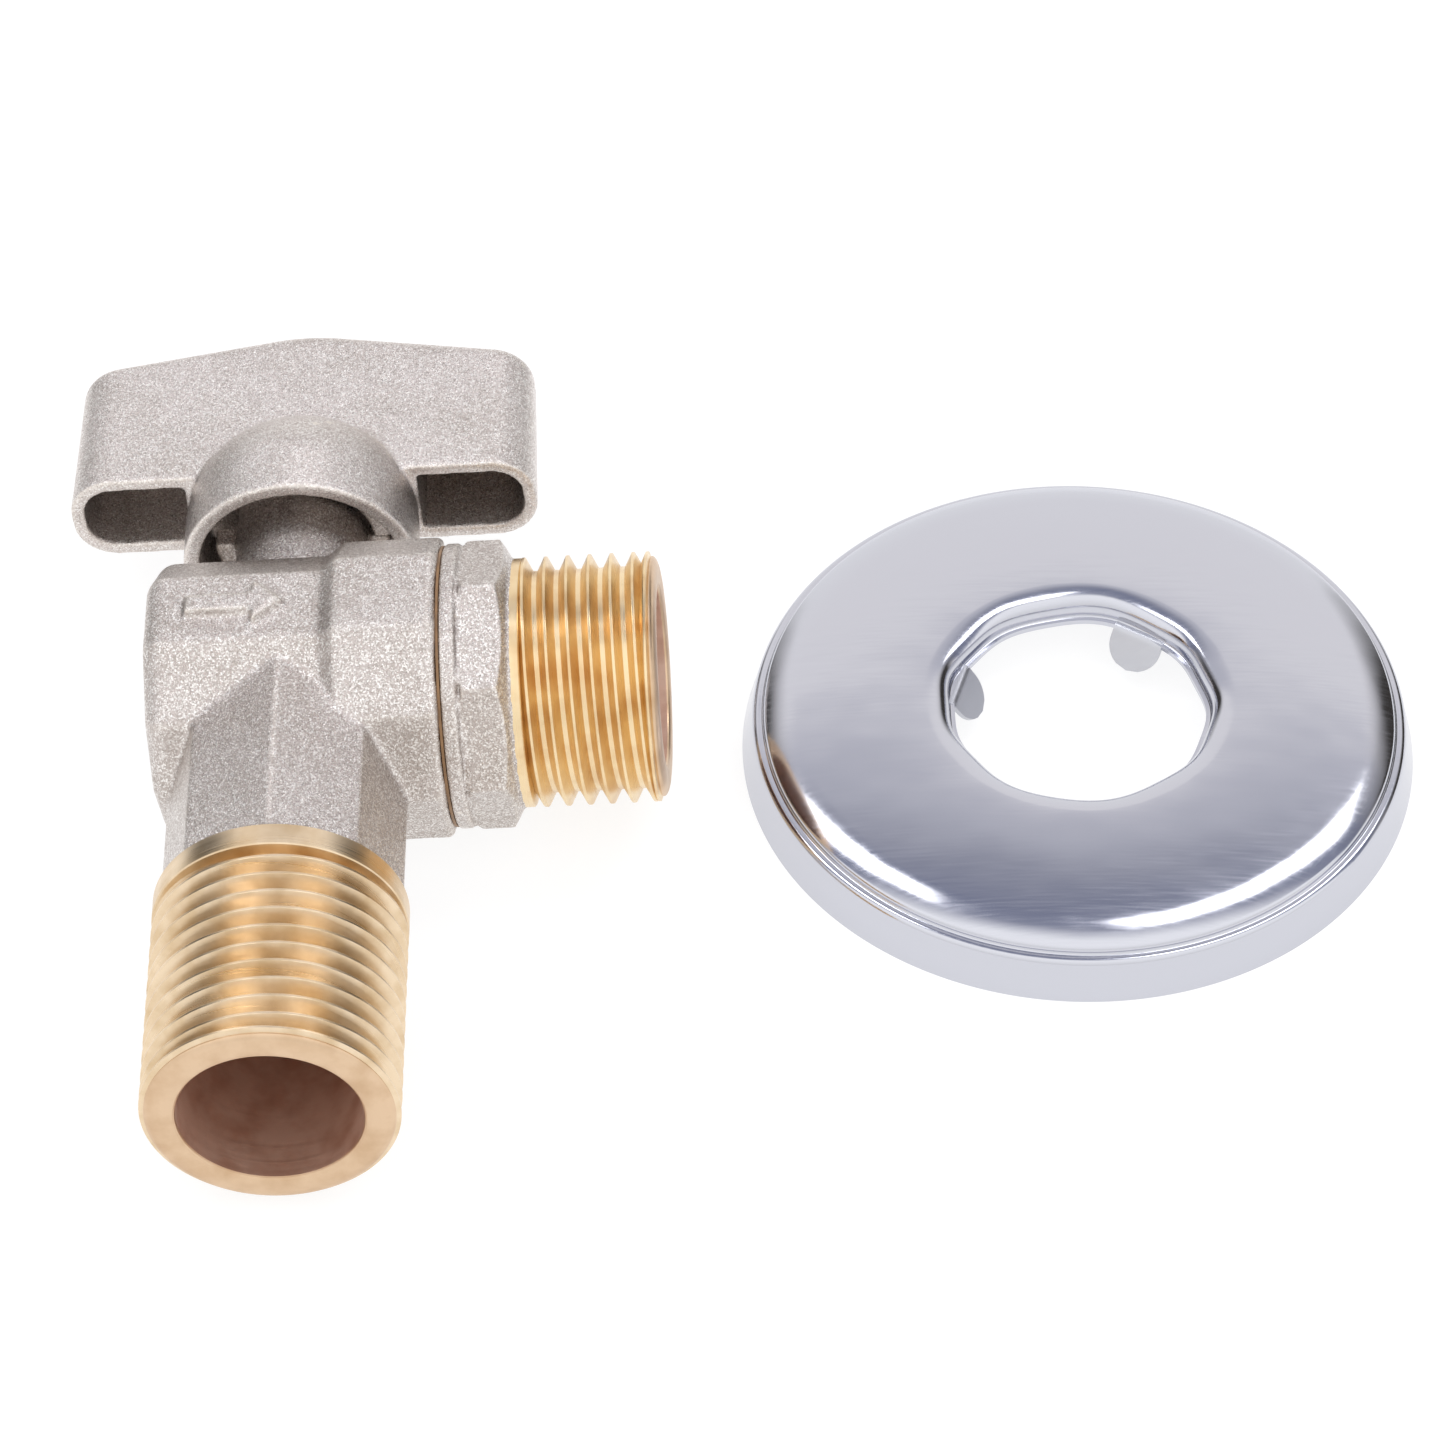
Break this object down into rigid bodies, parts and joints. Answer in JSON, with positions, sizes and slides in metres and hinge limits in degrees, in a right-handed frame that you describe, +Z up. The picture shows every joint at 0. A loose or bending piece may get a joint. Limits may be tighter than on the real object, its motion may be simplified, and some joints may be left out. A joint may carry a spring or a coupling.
{
  "type": "angle stop valve",
  "caption": "Quarter-turn angle stop valve with two male pipe threads, a T handle and a loose domed wall cover.",
  "frame": {"origin": "on the inlet's axis, at the outer edge of the inlet thread's first crest, 0.74 mm inside the mouth", "axes": "+Z up from the table that the valve and its cover lie on; -Y out of the inlet; the handle is at +Y and the outlet points to +X, tipped up 4.2 degrees"},
  "size_m": [0.1136, 0.0847, 0.0248],
  "materials": {
    "plated_brass": "forged brass, blasted and nickel plated, with bare machined threads",
    "plated_connector": "turned brass, blasted and nickel plated, with a bare machined thread",
    "sealant": "cured anaerobic sealant",
    "ptfe": "PTFE",
    "chromed_brass": "polished and chrome plated",
    "bare_brass": "turned",
    "seal_rubber": "nitrile rubber",
    "plated_casting": "die casting, blasted and nickel plated",
    "screw_steel": "stainless",
    "cap_plastic": "moulded",
    "polished_steel": "pressed stainless sheet, mirror polished"
  },
  "bodies": {
    "valve": {"valve_body": "plated_brass", "end_connector": "plated_connector", "joint_sealant": "sealant", "outlet_seat": "ptfe", "back_seat": "ptfe"},
    "handle": {"handle": "plated_casting", "handle_screw": "screw_steel", "screw_washer": "screw_steel", "handle_cap": "cap_plastic", "stem": "bare_brass", "stem_oring_inner": "seal_rubber", "stem_oring_outer": "seal_rubber", "thrust_washer": "ptfe", "ball": "chromed_brass"},
    "cover": {"wall_cover": "polished_steel"}
  },
  "joints": [
    {"name": "handle_turn", "type": "hinge", "parent": "valve", "child": "handle", "pos_m": [0, 0.04486, 0], "axis": [0, -1, 0], "range_deg": [0, 90]},
    {"name": "cover_lift", "type": "slide", "parent": "valve", "child": "cover", "axis": [0, 0, 1], "range_m": [0, 0.06]}
  ]
}
